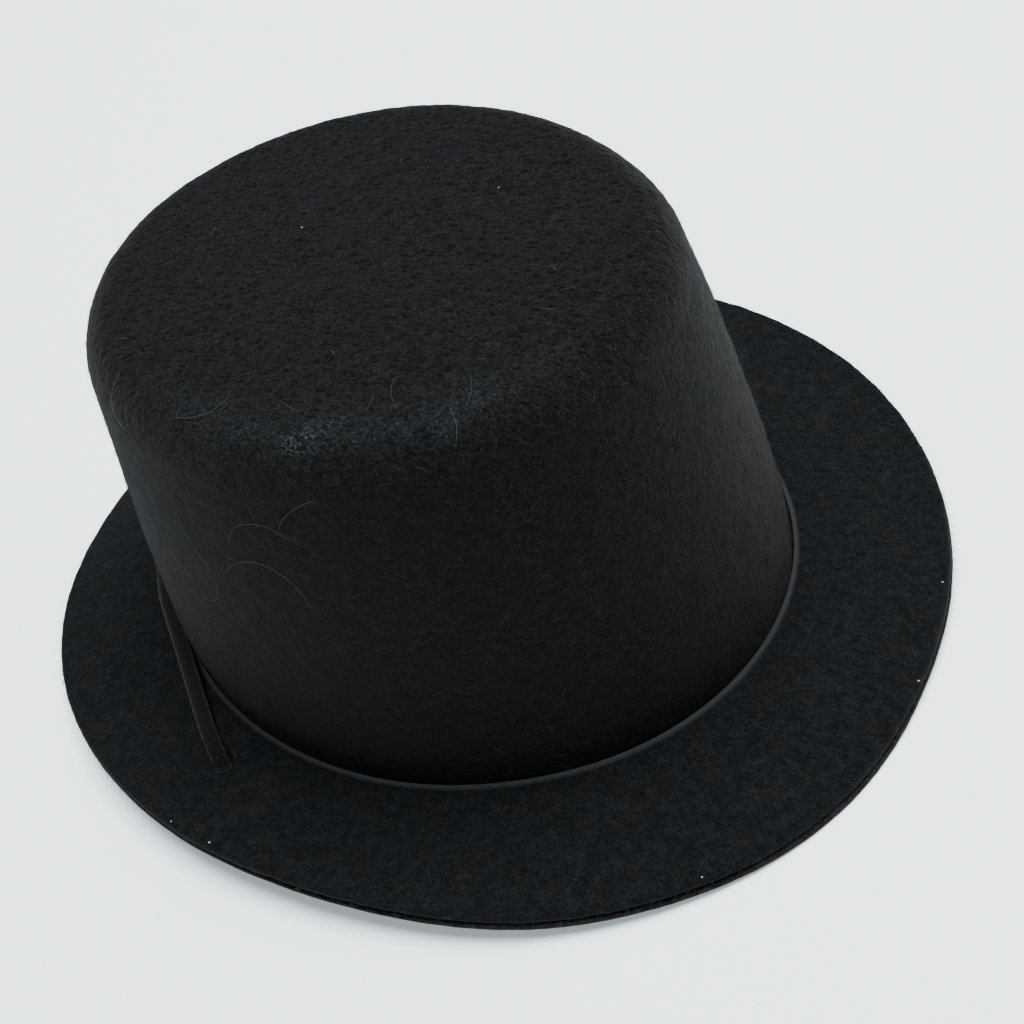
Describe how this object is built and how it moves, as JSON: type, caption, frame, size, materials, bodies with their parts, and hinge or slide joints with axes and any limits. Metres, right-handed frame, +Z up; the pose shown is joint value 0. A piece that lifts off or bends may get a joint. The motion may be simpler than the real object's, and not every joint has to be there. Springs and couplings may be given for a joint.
{
  "type": "top hat",
  "caption": "Small felt top hat with an oval straight-sided crown, a curled two-ply brim and a round elastic that holds it on the head.",
  "frame": {"origin": "on the surface that the hat stands on, under the middle of the brim", "axes": "+Z up the crown's axis, +X to the front of the hat along the brim's length, +Y across it"},
  "size_m": [0.1312, 0.1116, 0.0586],
  "materials": {
    "crown_felt": "matt black wool felt with a fuzzy nap, pitted where it was needled",
    "brim_felt": "matt black wool felt, pressed a little flatter than the crown",
    "under_felt": "matt charcoal wool felt",
    "buckram": "stiffened open weave",
    "ribbon": "ribbed grosgrain ribbon",
    "thread": "twisted sewing thread",
    "elastic": "round braided elastic cord"
  },
  "bodies": {
    "root": {"crown_shell": "crown_felt", "crown_stiffener": "buckram", "brim_top": "brim_felt", "brim_under": "under_felt", "sweatband": "ribbon", "sweatband_stitches": "thread", "elastic_band": "elastic", "elastic_right": "elastic", "elastic_left": "elastic", "elastic_knot": "elastic"}
  },
  "joints": []
}
